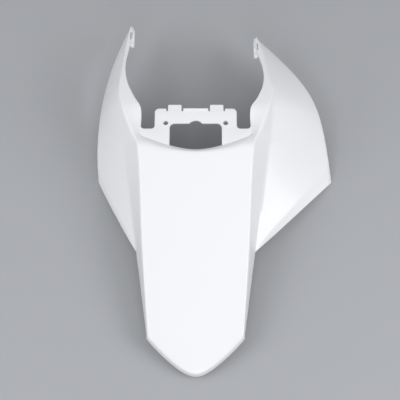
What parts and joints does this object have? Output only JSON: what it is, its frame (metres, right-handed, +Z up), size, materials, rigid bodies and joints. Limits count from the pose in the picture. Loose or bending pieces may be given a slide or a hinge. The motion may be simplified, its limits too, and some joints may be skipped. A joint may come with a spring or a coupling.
{
  "type": "motorcycle rear cover",
  "caption": "White moulded rear cover with a flat-topped pointed tail, flared side wings, seat plate and two forward arms.",
  "frame": {"origin": "on the upper face of the seat plate, midway between its two screw holes", "axes": "+X to the rider's right, +Y forward along the arms, +Z up, square to the seat plate"},
  "size_m": [0.3436, 0.519, 0.1039],
  "materials": {
    "gloss_white": "gloss white moulded plastic"
  },
  "bodies": {
    "root": {"rear_cover": "gloss_white"}
  },
  "joints": []
}
